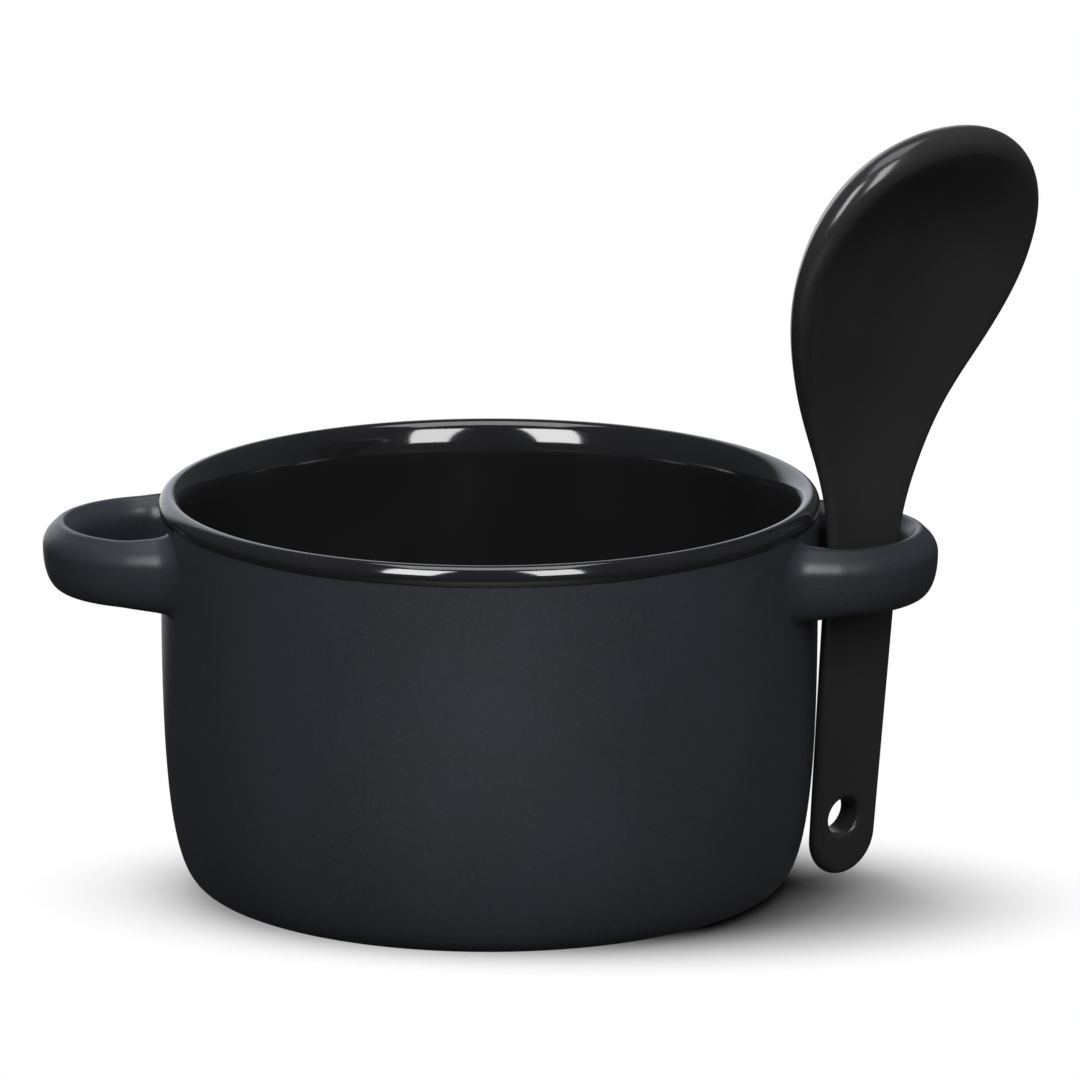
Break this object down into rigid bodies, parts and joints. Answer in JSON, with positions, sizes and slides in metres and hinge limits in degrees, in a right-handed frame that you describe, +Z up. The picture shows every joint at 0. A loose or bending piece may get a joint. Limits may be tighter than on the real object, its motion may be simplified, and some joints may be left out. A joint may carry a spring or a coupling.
{
  "type": "soup mug",
  "caption": "Wide straight-sided black ceramic soup mug with a loop handle on each side, a gloss glazed inside and lip, and a ceramic spoon standing in one of the loops.",
  "frame": {"origin": "centre of the flat underside, on the mug's axis", "axes": "+X from the mug's axis to the loop that holds the spoon, +Y away from the viewer of the picture, +Z up along the mug's axis"},
  "size_m": [0.1812, 0.12, 0.1444],
  "materials": {
    "matte_glaze": "satin matte bluish black glaze",
    "gloss_glaze": "gloss black glaze",
    "spoon_glaze": "gloss neutral black glaze"
  },
  "bodies": {
    "mug": {"mug_body": "matte_glaze", "glaze_lining": "gloss_glaze", "left_handle": "matte_glaze", "right_handle": "matte_glaze"},
    "spoon": {"spoon": "spoon_glaze"}
  },
  "joints": [
    {"name": "spoon_lift", "type": "slide", "parent": "mug", "child": "spoon", "axis": [0.0624, -0.0669, 0.9958], "range_m": [0, 0.075]}
  ]
}
